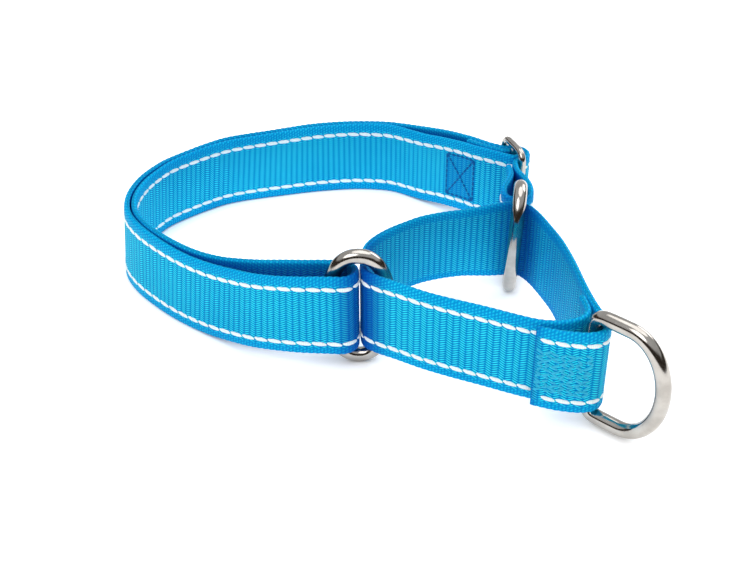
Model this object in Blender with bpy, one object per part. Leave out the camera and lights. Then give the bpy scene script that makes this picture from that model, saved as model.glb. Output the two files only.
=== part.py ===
"""Martingale collar: an adjustable webbing strap, a control loop, two oval rings,
a three-bar slider and a leash D-ring. Lengths below are millimetres, and the model
is built in metres with +Z up, standing on its lower webbing edge."""

from math import atan2, cos, degrees, hypot, pi, radians, sin

import bmesh
import bpy
from mathutils import Matrix, Vector

MM = 0.001

# ---------------------------------------------------------------- driving dimensions
WEB_WIDTH = 24.4          # height of the standing webbing, sold as 25 mm
WEB_THICK = 1.7
GAP = 0.3                 # clearance kept between separate pieces
PITCH = WEB_THICK + GAP   # centre to centre of two layers lying together
LIFT = 5.2                # how far the rings hold the webbing off the ground
SLIDER_LIFT = 3.4         # the same at the slider
LEAN = (2.5, -1.9)        # how far the long loop's upper edge leans over its lower edge
CONTROL_LEAN = (0.0, -3.6)

RING_WIRE = 4.0           # oval rings
RING_HALF_WIDTH = 8.0     # half axes of the wire's centre line
RING_HALF_HEIGHT = 15.6
RING_POWER = 2.3          # superellipse power: 2 is a plain ellipse
RING_Z = RING_HALF_HEIGHT + RING_WIRE / 2

D_WIRE = 4.0              # leash D-ring
D_HALF_HEIGHT = 14.8
D_DEPTH = 20.4
D_STRAIGHT = 9.8          # where the sides start to bend into the bow
D_CORNER = 4.0

SLIDER_BAR = 2.2          # three-bar slider
SLIDER_PITCH = 6.6        # centre bar to outer bar
SLIDER_HALF_HEIGHT = 14.3
SLIDER_CORNER = 3.0

TRACER_INSET = 3.6        # reflective yarns, measured from the webbing's edges
TRACER_HEIGHT = 1.0
TRACER_THICK = 0.35
THREAD = 0.7              # sewing thread as it lies on the webbing
THREAD_THICK = 0.35

# ---------------------------------------------------------------- plan layout
# Plan points are measured from the middle of the collar; SHIFT moves the model so
# that the middle of its footprint is the origin.
SHIFT = (3.144, 9.141)

FRONT_RING = (-4.4, -39.1)
REAR_RING = (40.45, -3.0)
REAR_RING_TURN = radians(-7.5)     # of the ring's plane, from the Y axis
REAR_RING_TILT = radians(-2.5)     # it leans a little to the right
FLEX_LEFT = (-73.1, 10.0)          # where the long loop bends when it tightens
FLEX_FRONT = (-3.1, -38.6)          # inside the front ring
FLEX_REAR = (6.5, -15.3)
FLEX_RING = (40.9, -3.8)           # inside the rear ring
FLEX_RIGHT = (52.5, -41.0)
FLEX_GAP = 0.5
CONTROL_FLEX_GAP = 1.3
D_BAR = (53.3, -64.2)
D_TURN = radians(-42.5)
SLIDER = (42.8, 31.0)
SLIDER_TURN = radians(-71)         # from its left bar to its right bar
FRONT_FOLD = (-9.1, -39.4)        # centre of the long strap's fold in the front ring
FOLD_RADIUS = 4.15                 # centre line of the fold in the front ring
REAR_FOLD_RADIUS = 3.85             # and of the loop round the rear ring
LAYERS = PITCH + 0.1               # the two layers where they lie together
BAR_WRAP = SLIDER_BAR / 2 + GAP + WEB_THICK / 2

WEBBING = (0.010, 0.42, 0.78)
WEBBING_SHADE = (0.008, 0.36, 0.72)
TRACER = (0.92, 0.94, 0.95)
STITCH = (0.006, 0.20, 0.52)
NICKEL = (0.74, 0.72, 0.70)


# ---------------------------------------------------------------- plan geometry
def arc(centre, radius, start, end, count=8):
    """Points on an arc, angles in degrees."""
    turn = [radians(start + (end - start) * i / count) for i in range(count + 1)]
    return [(centre[0] + radius * cos(a), centre[1] + radius * sin(a)) for a in turn]


def smooth(points, steps=12):
    """A Catmull-Rom curve through the points."""
    ends = [_mirror(points[0], points[1])] + list(points) + [_mirror(points[-1], points[-2])]
    curve = []
    for a, b, c, d in zip(ends, ends[1:], ends[2:], ends[3:]):
        for i in range(steps):
            t = i / steps
            curve.append(tuple(_spline(a[k], b[k], c[k], d[k], t) for k in (0, 1)))
    return curve + [tuple(points[-1])]


def _mirror(end, inner):
    return (2 * end[0] - inner[0], 2 * end[1] - inner[1])


def _spline(a, b, c, d, t):
    return 0.5 * (2 * b + (c - a) * t + (2 * a - 5 * b + 4 * c - d) * t**2 + (3 * b - a - 3 * c + d) * t**3)


def offset_point(route, i, distance):
    """One point of a route moved sideways; positive is to the left of its direction."""
    a, b = route[max(i - 1, 0)], route[min(i + 1, len(route) - 1)]
    size = hypot(b[0] - a[0], b[1] - a[1])
    return (route[i][0] - (b[1] - a[1]) / size * distance, route[i][1] + (b[0] - a[0]) / size * distance)


def length_along(route):
    """Running length at each point."""
    total = [0.0]
    for a, b in zip(route, route[1:]):
        total.append(total[-1] + hypot(b[0] - a[0], b[1] - a[1]))
    return total


def point_at(route, distance):
    total = length_along(route)
    for i in range(len(route) - 1):
        if total[i + 1] >= distance:
            t = (distance - total[i]) / max(total[i + 1] - total[i], 1e-9)
            a, b = route[i], route[i + 1]
            return (a[0] + (b[0] - a[0]) * t, a[1] + (b[1] - a[1]) * t)
    return route[-1]


def nearest(route, place):
    """Distance along the route to its point closest to a place."""
    total = length_along(route)
    best = min(range(len(route)), key=lambda i: hypot(route[i][0] - place[0], route[i][1] - place[1]))
    return total[best]


def cut(route, start, end):
    """The stretch of a route between two distances along it."""
    total = length_along(route)
    inner = [p for p, s in zip(route, total) if start + 0.05 < s < end - 0.05]
    return [point_at(route, start)] + inner + [point_at(route, end)]


def offset(route, distance):
    """The whole route moved sideways."""
    return [offset_point(route, i, distance) for i in range(len(route))]


def thin_out(route, turn=8.0, step=5.0):
    """Fewer points: a new one where the route has turned or run far enough."""
    kept = [route[0]]
    heading = atan2(route[1][1] - route[0][1], route[1][0] - route[0][0])
    for a, b in zip(route[1:], route[2:]):
        now = atan2(b[1] - a[1], b[0] - a[0])
        swing = abs(degrees((now - heading + pi) % (2 * pi) - pi))
        if swing >= turn or hypot(a[0] - kept[-1][0], a[1] - kept[-1][1]) >= step:
            kept.append(a)
            heading = now
    if hypot(kept[-1][0] - route[-1][0], kept[-1][1] - route[-1][1]) < 0.8:
        kept.pop()
    return kept + [route[-1]]


def ease(value):
    """A smooth step from 0 to 1."""
    t = min(max(value, 0.0), 1.0)
    return t * t * (3 - 2 * t)


def lift(point):
    """Height of the webbing's lower edge: on the ground at the left, up at the rings."""
    x, y = point
    if y < 0:
        return LIFT * ease((x + 52) / 38)
    at_ring = ease((24 - y) / 18) if x > 30 else 0.0
    return SLIDER_LIFT * ease((x - 8) / 28) + (LIFT - SLIDER_LIFT) * at_ring


def lean(point):
    """How far the upper edge leans over the lower edge, in plan."""
    x, y = point
    long_loop = 1 - ease((x + 48) / 40)
    control = ease((x + 2) / 12) * (1 - ease((x - 24) / 13)) if -27 < y < 0 else 0.0
    return (LEAN[0] * long_loop + CONTROL_LEAN[0] * control,
            LEAN[1] * long_loop + CONTROL_LEAN[1] * control)


def beside(centre, turn, along, across):
    """A point given in a turned frame."""
    return (centre[0] + along * cos(turn) - across * sin(turn),
            centre[1] + along * sin(turn) + across * cos(turn))


# ---------------------------------------------------------------- webbing routes
def slider_weave():
    """The free webbing inside the left bar, outside the middle bar, inside the right bar."""
    turn = degrees(SLIDER_TURN)
    left = beside(SLIDER, SLIDER_TURN, -SLIDER_PITCH, 0)
    right = beside(SLIDER, SLIDER_TURN, SLIDER_PITCH, 0)
    into = arc(left, BAR_WRAP, turn - 54, turn, 6)
    over = arc(SLIDER, SLIDER_PITCH - BAR_WRAP, turn + 180, turn, 16)
    out = arc(right, BAR_WRAP, turn + 180, turn + 238, 6)
    return into + over[1:-1] + out


def main_outer_route():
    """From the front ring's fold, round the back, through the slider, to the rear ring's loop."""
    back = [(FRONT_FOLD[0], FRONT_FOLD[1] - FOLD_RADIUS), (-20, -42.5), (-31, -38.2), (-41, -31.7),
            (-48.4, -26.2), (-55.5, -20.5), (-62.2, -13.9), (-68.6, -6.2), (-72.9, 2), (-74.2, 11),
            (-72.7, 20.5), (-69.4, 28.6), (-65.0, 35.2), (-54.2, 44.9), (-46, 49.9), (-31, 55),
            (-18.3, 58.6), (-5, 60.2), (8, 58.2), (20.6, 51.2), (29.5, 43.6)]
    weave = slider_weave()
    entry = smooth(back + [(35.2, 38.0), weave[0]])
    cast = REAR_RING_TURN + pi / 2
    centre = beside(REAR_RING, cast, 5.8, 0)
    loop = arc(centre, REAR_FOLD_RADIUS, degrees(cast) - 90, degrees(cast) - 270, 16)
    leg = smooth([weave[-1], (42.9, 18.5), (44.5, 11.5), (45.25, 6.0), loop[0]])
    tab = smooth([loop[-1], (37.75, 6.6), (39.6, 11.6), (40.7, 17.0), (40.5, 22.5)])
    return entry + weave[1:] + leg[1:] + loop[1:] + tab[1:]


def layer_spacing(run, total):
    """Distance between the two layers: wide at the ring's fold, close round the back."""
    at_fold = (2 * FOLD_RADIUS - LAYERS) * (1 - ease(run / 66))
    at_tab = (PITCH + 0.25) * ease((run - total + 44) / 20)
    return LAYERS + at_fold + at_tab


def main_inner_route():
    """Inside the outer layer to the slider's middle bar, then back between the layers."""
    outer = main_outer_route()
    end = nearest(outer, slider_weave()[0])
    beside_bar = cut(outer, 0, end)
    total = length_along(beside_bar)
    inner = [offset_point(beside_bar, i, -layer_spacing(total[i], end)) for i in range(len(beside_bar))]
    inner[0] = (FRONT_FOLD[0], FRONT_FOLD[1] + FOLD_RADIUS)
    heading = degrees(SLIDER_TURN) - 54
    wrap = arc(SLIDER, BAR_WRAP, heading + 4, heading + 234, 18)
    left = beside(SLIDER, SLIDER_TURN, -SLIDER_PITCH, 0)
    turn = degrees(SLIDER_TURN)
    back = arc(left, SLIDER_PITCH - BAR_WRAP, turn, turn - 54, 6)
    tab = cut(offset(beside_bar, -PITCH - 0.1), end - 19, end - 2.6)
    lead = smooth([inner[-14], inner[-5], wrap[0]])
    return inner[:-14] + lead + wrap[1:] + back[1:] + list(reversed(tab))


def control_route():
    """From the inner end beside the right run, along the front, round both rings, to the flap."""
    inner_corner = [(51.9, -51.4), (52.5, -55.5), (52.4, -58.5), (50.4, -61.2), (46.0, -62.8), (40.6, -62.6)]
    front = [(35, -60.5), (27.5, -57.0), (19.5, -53.4), (12.3, -49.8), (5.5, -45.7), (0.7, -43.0),
             (-2.3, -40.4), (-3.1, -37.2), (-3.0, -32.0), (-1.9, -26.4), (1.6, -20.7)]
    rear = [(6.5, -15.3), (12.5, -10.8), (19, -8.1), (25, -6.6), (31, -5.5), (37, -4.3), (40.9, -3.8),
            (43.6, -6.2), (45.8, -10.5), (47.8, -16.2), (49.8, -22.8), (51.0, -29), (52.0, -36)]
    corner = [(52.9, -44), (53.9, -51), (55.1, -57.2), (56.5, -61.2), (56.5, -64.6), (54.6, -67.2),
              (50.9, -68.1), (45.6, -67.2), (41.6, -65.8), (39.2, -64.8)]
    return smooth(inner_corner + front + rear + corner)


# ---------------------------------------------------------------- mesh helpers
PLANE_NORMAL = Vector((0, -1, 0))   # wire loops are drawn in the XZ plane, then turned


def material(name, colour, roughness, metallic=0.0):
    made = bpy.data.materials.new(name)
    made.use_nodes = True
    shader = made.node_tree.nodes["Principled BSDF"]
    shader.inputs["Base Color"].default_value = (*colour, 1.0)
    shader.inputs["Roughness"].default_value = roughness
    shader.inputs["Metallic"].default_value = metallic
    return made


def to_world(x, y, z):
    return Vector(((x + SHIFT[0]) * MM, (y + SHIFT[1]) * MM, z * MM))


def add_object(name, mesh, finish):
    thing = bpy.data.objects.new(name, mesh)
    thing.data.materials.append(finish)
    bpy.context.collection.objects.link(thing)
    return thing


def mesh_from(shape):
    bmesh.ops.recalc_face_normals(shape, faces=shape.faces[:])
    mesh = bpy.data.meshes.new("shape")
    shape.to_mesh(mesh)
    shape.free()
    return mesh


def loft(sections, closed):
    """Skin over equal-sized cross-sections, capped at both ends unless it closes on itself."""
    shape = bmesh.new()
    rows = [[shape.verts.new(v) for v in section] for section in sections]
    pairs = list(zip(rows, rows[1:]))
    if closed:
        pairs.append((rows[-1], rows[0]))
    for low, high in pairs:
        for i in range(len(low)):
            j = (i + 1) % len(low)
            shape.faces.new((low[i], low[j], high[j], high[i]))
    if not closed:
        shape.faces.new(rows[0])
        shape.faces.new(rows[-1])
    return mesh_from(shape)


def ribbon(name, route, finish, thick=WEB_THICK, side=0.0, low=0.0, high=WEB_WIDTH):
    """A standing band along a plan route; low and high are heights above its lower edge."""
    coarse = thin_out(route)
    left = offset(coarse, side + thick / 2)
    right = offset(coarse, side - thick / 2)
    sections = []
    for middle, a, b in zip(coarse, left, right):
        base = lift(middle)
        tilt = lean(middle)
        corners = [(a, low), (a, high), (b, high), (b, low)]
        sections.append([leaning(point, tilt, base, height) for point, height in corners])
    return add_object(name, loft(sections, False), finish)


def leaning(point, tilt, base, height):
    """A point of the webbing at a height above its lower edge."""
    share = height / WEB_WIDTH - 0.5
    return to_world(point[0] + tilt[0] * share, point[1] + tilt[1] * share, base + height)


def tube_sections(path, radius, sides, closed):
    """Round cross-sections along a path drawn in the XZ plane."""
    count = len(path)
    sections = []
    for i, p in enumerate(path):
        before = path[(i - 1) % count] if closed else path[max(i - 1, 0)]
        after = path[(i + 1) % count] if closed else path[min(i + 1, count - 1)]
        along = (after - before).normalized()
        out = along.cross(PLANE_NORMAL)
        turns = [2 * pi * k / sides for k in range(sides)]
        sections.append([p + radius * (cos(a) * PLANE_NORMAL + sin(a) * out) for a in turns])
    return sections


def wire_loop(path, wire, sides=8):
    """A closed loop of round wire drawn in the XZ plane, in metres."""
    points = [Vector((x * MM, 0, z * MM)) for x, z in path]
    return loft(tube_sections(points, wire * MM / 2, sides, True), True)


def stand(thing, place, z, turn, tilt=0.0):
    """Puts a shape drawn about its own origin at a plan point, tilted and turned about Z."""
    thing.location = to_world(*place, z)
    thing.rotation_euler = (tilt, 0, turn)


# ---------------------------------------------------------------- hardware
def oval_outline(shift=0.0):
    """Centre line of an oval ring; shift moves it so that one upright wire is the origin."""
    points = []
    for i in range(36):
        a = 2 * pi * i / 36
        c, s = cos(a), sin(a)
        x = RING_HALF_WIDTH * abs(c) ** (2 / RING_POWER) * (1 if c >= 0 else -1)
        z = RING_HALF_HEIGHT * abs(s) ** (2 / RING_POWER) * (1 if s >= 0 else -1)
        points.append((x + shift, z))
    return points


def make_rings(nickel):
    """Each ring turns about the upright wire that the long strap holds."""
    front = add_object("front_ring", wire_loop(oval_outline(RING_HALF_WIDTH), RING_WIRE), nickel)
    stand(front, (FRONT_RING[0] - RING_HALF_WIDTH, FRONT_RING[1]), RING_Z, 0)
    rear = add_object("rear_ring", wire_loop(oval_outline(RING_HALF_WIDTH), RING_WIRE), nickel)
    cast = REAR_RING_TURN + pi / 2
    held = beside(REAR_RING, cast, RING_HALF_WIDTH, 0)
    stand(rear, held, RING_Z, cast + pi, REAR_RING_TILT)


def d_outline():
    """Straight bar at x = 0, bent corners, straight sides, and one round bow."""
    reach = D_DEPTH - D_STRAIGHT
    bow = [(D_STRAIGHT + reach * sin(a), D_HALF_HEIGHT * cos(a)) for a in (pi * i / 14 for i in range(15))]
    top = [(0.0, D_HALF_HEIGHT - D_CORNER), (0.4, D_HALF_HEIGHT - 1.8), (1.5, D_HALF_HEIGHT - 0.4),
           (3.6, D_HALF_HEIGHT)]
    bottom = [(x, -z) for x, z in reversed(top)]
    bar = [(0.0, z) for z in (-5.0, 0.0, 5.0)]
    return top + bow + bottom + bar


def make_d_ring(nickel):
    ring = add_object("leash_d_ring", wire_loop(d_outline(), D_WIRE), nickel)
    stand(ring, D_BAR, LIFT + WEB_WIDTH / 2, D_TURN)


def slider_outline():
    """Rounded rectangle through the outer bars and the two rails."""
    half, tall, bend = SLIDER_PITCH, SLIDER_HALF_HEIGHT, SLIDER_CORNER
    corners = [(half - bend, tall - bend, 0), (-half + bend, tall - bend, 90),
               (-half + bend, -tall + bend, 180), (half - bend, -tall + bend, 270)]
    points = []
    for x, z, start in corners:
        points += arc((x, z), bend, start, start + 90, 4)
    return points


def make_slider(nickel):
    frame = add_object("three_bar_slider", wire_loop(slider_outline(), SLIDER_BAR), nickel)
    stand(frame, SLIDER, SLIDER_LIFT + WEB_WIDTH / 2, SLIDER_TURN)
    reach = SLIDER_HALF_HEIGHT
    path = [Vector((0, 0, z * MM)) for z in (-reach, 0, reach)]
    bar = add_object("middle_bar", loft(tube_sections(path, SLIDER_BAR * MM / 2 * 0.97, 10, False), False),
                     nickel)
    stand(bar, SLIDER, SLIDER_LIFT + WEB_WIDTH / 2, SLIDER_TURN)
    bar.hide_render = True
    bar.display_type = "WIRE"
    joined = frame.modifiers.new("weld_bar", "BOOLEAN")
    joined.operation = "UNION"
    joined.solver = "EXACT"
    joined.object = bar


# ---------------------------------------------------------------- webbing
def strap_stretches():
    """Each rigid stretch of webbing: name, route, and the side of its face yarns."""
    outer, inner, control = main_outer_route(), main_inner_route(), control_route()
    half, gap = FLEX_GAP / 2, CONTROL_FLEX_GAP / 2
    o_left, i_left = nearest(outer, FLEX_LEFT), nearest(inner, FLEX_LEFT)
    fold = arc(FRONT_FOLD, FOLD_RADIUS, 90, -90, 14)
    front = list(reversed(cut(inner, 0, i_left - half))) + fold[1:-1] + cut(outer, 0, o_left - half)
    a = nearest(control, FLEX_FRONT)
    m = nearest(control, FLEX_REAR)
    b = nearest(control, FLEX_RING)
    n = nearest(control, FLEX_RIGHT)
    ends = length_along(control)[-1]
    return {
        "main_strap_front": front,
        "main_strap_outer": cut(outer, o_left + half, length_along(outer)[-1]),
        "main_strap_inner": cut(inner, i_left + half, length_along(inner)[-1]),
        "control_strap_front": cut(control, 0, a - gap),
        "control_strap_rear_left": cut(control, a + gap, m - gap),
        "control_strap_rear_right": cut(control, m + gap, b - 1.0),
        "control_strap_right": cut(control, b + 0.4, n - gap),
        "control_strap_flap": cut(control, n + gap, ends),
    }


def make_straps(stretches):
    face = material("blue_webbing", WEBBING, 0.55)
    reverse = material("blue_webbing_control", WEBBING_SHADE, 0.55)
    for name, route in stretches.items():
        ribbon(name, route, reverse if name.startswith("control") else face)


def make_tracers(stretches):
    """Two reflective yarns on the face of each stretch, clear of the folds."""
    white = material("reflective_yarn", TRACER, 0.35)
    # stretch, side of the face (+ left, - right), trim at the start and at the end
    rows = [("main_strap_front", "main_outer_front", 1, 108.0, 0.4),
            ("main_strap_front", "main_inner_front", 1, 0.4, 108.0),
            ("main_strap_outer", "main_outer_rear", 1, 0.4, 86.0),
            ("main_strap_inner", "main_inner_rear", -1, 0.4, 44.0),
            ("control_strap_front", "control_front", 1, 30.0, 4.5),
            ("control_strap_rear_left", "control_rear_left", 1, 3.0, 0.4),
            ("control_strap_rear_right", "control_rear_right", 1, 0.4, 5.0),
            ("control_strap_right", "control_right", 1, 4.0, 0.4),
            ("control_strap_flap", "control_flap", 1, 0.4, 0.6)]
    for source, name, side, start, end in rows:
        route = stretches[source]
        stretch = cut(route, start, length_along(route)[-1] - end)
        shift = side * (WEB_THICK / 2 + GAP + TRACER_THICK / 2)
        for level, middle in (("lower", TRACER_INSET), ("upper", WEB_WIDTH - TRACER_INSET)):
            ribbon(f"{name}_tracer_{level}", stretch, white, TRACER_THICK, shift,
                   middle - TRACER_HEIGHT / 2, middle + TRACER_HEIGHT / 2)


# ---------------------------------------------------------------- sewing
def box_cross(length, low, high):
    """A sewn box with a cross, as flat corners and faces: a frame and two diagonals."""
    t = THREAD
    half, middle = length / 2, (low + high) / 2
    slope = (high - low) / length
    reach = t * hypot(1, slope) / 2          # half height of a diagonal, measured upright
    side = reach / slope
    inner_low, inner_high = low + t, high - t
    notch = (inner_low - low) / slope
    corners = [(0, low), (length, low), (length, high), (0, high)]
    holes = [[(notch + side, inner_low), (length - notch - side, inner_low), (half, middle - reach)],
             [(notch + side, inner_high), (length - notch - side, inner_high), (half, middle + reach)],
             [(t, low + slope * t + reach), (t, high - slope * t - reach), (half - side, middle)],
             [(length - t, low + slope * t + reach), (length - t, high - slope * t - reach),
              (half + side, middle)]]
    return corners, holes


def flat_box_cross(length, low, high):
    """The box and cross as a flat mesh in the webbing's own length and height."""
    shape = bmesh.new()
    outer, holes = box_cross(length, low, high)
    edges = []
    for loop in [outer] + holes:
        row = [shape.verts.new((x, z, 0)) for x, z in loop]
        edges += [shape.edges.new((a, b)) for a, b in zip(row, row[1:] + row[:1])]
    bmesh.ops.triangle_fill(shape, use_beauty=True, edges=edges)
    return shape


def flat_zigzag(rows, pitch, swing, teeth, low, high):
    """Upright rows of zigzag joined by one run of thread across their upper ends."""
    shape = bmesh.new()
    half = THREAD / 2
    ends = []
    for row in range(rows):
        middle = swing + half + row * pitch
        points = [(middle + (swing if i % 2 else -swing), low + (high - low) * i / teeth)
                  for i in range(teeth + 1)]
        pairs = [(shape.verts.new((x - half, z, 0)), shape.verts.new((x + half, z, 0))) for x, z in points]
        for (a, b), (c, d) in zip(pairs, pairs[1:]):
            shape.faces.new((a, b, d, c))
        ends += pairs[-1]
    caps = [shape.verts.new((v.co.x, v.co.y + THREAD, 0)) for v in ends]
    for i in range(len(ends) - 1):
        shape.faces.new((ends[i], ends[i + 1], caps[i + 1], caps[i]))
    return shape


def sew(name, flat, route, start, side, finish):
    """Lays a flat stitch pattern on the webbing's left (+1) or right (-1) face."""
    inner = WEB_THICK / 2 + GAP
    for face in flat.faces:
        face.normal_update()
    grown = bmesh.ops.extrude_face_region(flat, geom=flat.faces[:])
    raised = {v for v in grown["geom"] if isinstance(v, bmesh.types.BMVert)}
    for vertex in flat.verts:
        run, height = start + vertex.co.x, vertex.co.y
        reach = inner + (THREAD_THICK if vertex in raised else 0.0)
        ahead, behind = point_at(route, run + 0.5), point_at(route, run - 0.5)
        place = point_at(route, run)
        size = hypot(ahead[0] - behind[0], ahead[1] - behind[1])
        out = (-(ahead[1] - behind[1]) / size, (ahead[0] - behind[0]) / size)
        point = (place[0] + out[0] * reach * side, place[1] + out[1] * reach * side)
        vertex.co = leaning(point, lean(place), lift(place), height)
    bmesh.ops.recalc_face_normals(flat, faces=flat.faces[:])
    if flat.calc_volume(signed=True) < 0:
        bmesh.ops.reverse_faces(flat, faces=flat.faces[:])
    mesh = bpy.data.meshes.new("stitch")
    flat.to_mesh(mesh)
    flat.free()
    add_object(name, mesh, finish)


def make_sewing(stretches):
    thread = material("sewing_thread", STITCH, 0.6)
    low, high = 5.6, WEB_WIDTH - 5.6
    outer, inner = stretches["main_strap_outer"], stretches["main_strap_inner"]
    flap, front = stretches["control_strap_flap"], stretches["control_strap_front"]
    slider_tab = nearest(inner, (27.6, 41.5))
    sew("slider_tab_stitch", flat_box_cross(11.0, low, high), inner, slider_tab - 5.5, -1, thread)
    end = length_along(outer)[-1]
    sew("ring_tab_stitch", flat_zigzag(2, 2.6, 0.8, 9, low, high), outer, end - 5.4, 1, thread)
    end = length_along(flap)[-1]
    sew("flap_stitch", flat_zigzag(4, 2.9, 0.8, 9, low, high), flap, end - 13.0, 1, thread)
    sew("inner_end_stitch", flat_zigzag(2, 2.7, 0.8, 9, low, high), front, 0.9, -1, thread)


# ---------------------------------------------------------------- assembly
def hang_on_joints():
    """One empty on each joint axis of the webbing; the pieces that turn about it are its children."""
    joints = [("front_arm", FLEX_LEFT, ("main_strap_front", "main_outer_front", "main_inner_front")),
              ("control_right", FLEX_RING, ("control_strap_right", "control_right_tracer")),
              ("control_front", FLEX_RIGHT, ("control_strap_front", "control_strap_flap", "control_front_tracer",
                                             "control_flap_tracer", "flap_stitch", "inner_end_stitch")),
              ("control_rear_left", FLEX_FRONT, ("control_strap_rear_left", "control_rear_left_tracer")),
              ("control_rear_right", FLEX_REAR, ("control_strap_rear_right", "control_rear_right_tracer"))]
    for name, place, starts in joints:
        axis = bpy.data.objects.new(name + "_axis", None)
        axis.location = to_world(*place, WEB_WIDTH / 2)
        bpy.context.collection.objects.link(axis)
        for piece in [thing for thing in bpy.data.objects if thing.name.startswith(starts)]:
            piece.parent = axis
            piece.matrix_parent_inverse = Matrix.Translation(-axis.location)


def clear_scene():
    for thing in list(bpy.data.objects):
        bpy.data.objects.remove(thing, do_unlink=True)


def main():
    clear_scene()
    stretches = strap_stretches()
    make_straps(stretches)
    make_tracers(stretches)
    make_sewing(stretches)
    nickel = material("bright_nickel", NICKEL, 0.16, 1.0)
    make_rings(nickel)
    make_d_ring(nickel)
    make_slider(nickel)
    hang_on_joints()


main()
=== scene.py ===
"""Looks for the martingale collar: woven webbing with reflective yarns, sewing, and nickel hardware.
Lengths are millimetres until a mesh is made; the frame itself is in metres."""
import random
from math import ceil, cos, degrees, hypot, pi, radians, sin

import bpy
import numpy as np
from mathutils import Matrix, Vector


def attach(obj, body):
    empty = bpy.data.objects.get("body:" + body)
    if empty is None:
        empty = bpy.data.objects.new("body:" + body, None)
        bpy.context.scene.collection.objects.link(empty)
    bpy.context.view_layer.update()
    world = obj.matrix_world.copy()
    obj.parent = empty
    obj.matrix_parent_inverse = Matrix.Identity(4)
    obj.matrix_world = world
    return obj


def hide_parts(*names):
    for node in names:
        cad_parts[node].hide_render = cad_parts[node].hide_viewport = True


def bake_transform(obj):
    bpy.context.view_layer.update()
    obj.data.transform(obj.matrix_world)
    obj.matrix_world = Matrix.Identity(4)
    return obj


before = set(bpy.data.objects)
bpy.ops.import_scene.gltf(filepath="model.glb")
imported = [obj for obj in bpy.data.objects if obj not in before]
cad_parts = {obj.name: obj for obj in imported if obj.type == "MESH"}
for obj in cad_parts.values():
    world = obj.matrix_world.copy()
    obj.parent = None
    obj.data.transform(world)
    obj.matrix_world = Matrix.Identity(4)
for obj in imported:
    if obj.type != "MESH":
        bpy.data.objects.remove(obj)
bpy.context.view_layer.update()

MM = 0.001

# ---------------------------------------------------------------- sizes, as in the frame
WEB_WIDTH = 24.4
WEB_THICK = 1.7
GAP = 0.3
PITCH = WEB_THICK + GAP
LIFT = 5.2
SLIDER_LIFT = 3.4
LEAN = (2.5, -1.9)
CONTROL_LEAN = (0.0, -3.6)
RING_WIRE = 4.0
RING_HALF_WIDTH = 8.0
RING_HALF_HEIGHT = 15.6
RING_POWER = 2.3
RING_Z = RING_HALF_HEIGHT + RING_WIRE / 2
D_WIRE = 4.0
D_HALF_HEIGHT = 14.8
D_DEPTH = 20.4
D_STRAIGHT = 9.8
D_CORNER = 4.0
SLIDER_BAR = 2.2
SLIDER_PITCH = 6.6
SLIDER_HALF_HEIGHT = 14.3
SLIDER_CORNER = 3.0
TRACER_INSET = 3.6
SHIFT = (3.144, 9.141)
FRONT_RING = (-4.4, -39.1)
REAR_RING = (40.45, -3.0)
REAR_RING_TURN = radians(-7.5)
REAR_RING_TILT = radians(-2.5)
FLEX_RING = (40.9, -3.8)
D_BAR = (53.3, -64.2)
D_TURN = radians(-42.5)
SLIDER = (42.8, 31.0)
SLIDER_TURN = radians(-71)
FRONT_FOLD = (-9.1, -39.4)
FOLD_RADIUS = 4.15
REAR_FOLD_RADIUS = 3.85
REAR_FOLD_REACH = 5.8                 # of the loop's centre from the rear ring's
LAYERS = PITCH + 0.1
BAR_WRAP = SLIDER_BAR / 2 + GAP + WEB_THICK / 2

# ---------------------------------------------------------------- weave
RIB_PITCH = 1.8                       # cross ribs of the webbing
RIB_RISE = 0.075
BEAD_PITCH = 0.72                     # weft strokes along each rib
BEAD_SLANT = 1.1                      # in bead pitches, from one side of a rib to the other
SELVAGE = (1.9, 2.9)                  # distances from the edge over which ribs take over from the selvage
SELVAGE_LINES = 0.95
SCALLOP = 0.16                        # waviness of the selvages
WANDER = 0.10                         # unevenness of the upper edge
REVERSE = 40.0                        # added to the height in the weave map on the reverse face
DASH_PITCH = {"main": 4.0, "control": 3.65}
DASH_SHARE = 0.97                     # of the pitch that shows as white yarn
DASH_STAGGER = 1.3                    # of the upper row against the lower
DASH_HEIGHT = 1.35
DASH_RISE = 0.26
DASH_SLANT = 0.8
STITCH_WIDTH = 0.68
STITCH_RISE = 0.34
THREAD_ROOT = 0.14                    # depth to which a thread sinks into the webbing
HALF_STROKE = 1.75                    # half a stroke in its weave map, whatever its real length
INNER_TAB = 14.0                      # sewn face to face with the right run, so its yarns are hidden

# ---------------------------------------------------------------- places on the straps
FRONT_TURN = (-3.1, -37.2)            # the control strap's fold in the front ring
FOLD_END = (-1.9, -26.4)              # where its front and rear stretches meet
TAB_BOX = (27.6, 39.2)                # the sewn box at the slider

# ---------------------------------------------------------------- sewing
BOX_LENGTH = 11.0
BOX_MARGIN = 5.0                      # from the webbing's edges to the sewn box
BOX_PATCH = (35.8, 48.4)              # runs along the main strap that the box draws in
BOX_STITCH = (1.7, 0.2)               # length and gap
ZIGZAG_MARGIN = 5.4
RING_TAB_FROM_END = 5.0
RING_TAB_ROWS = {"rows": 2, "pitch": 2.6, "swing": 0.9}
INNER_FROM_END = 2.2
INNER_ROWS = {"rows": 2, "pitch": 2.7, "swing": 0.9}
FLAP_FROM_END = 13.0
FLAP_ROWS = {"rows": 7, "pitch": 1.9, "swing": 0.85, "tooth": 1.05, "loose": 0.42}

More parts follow.
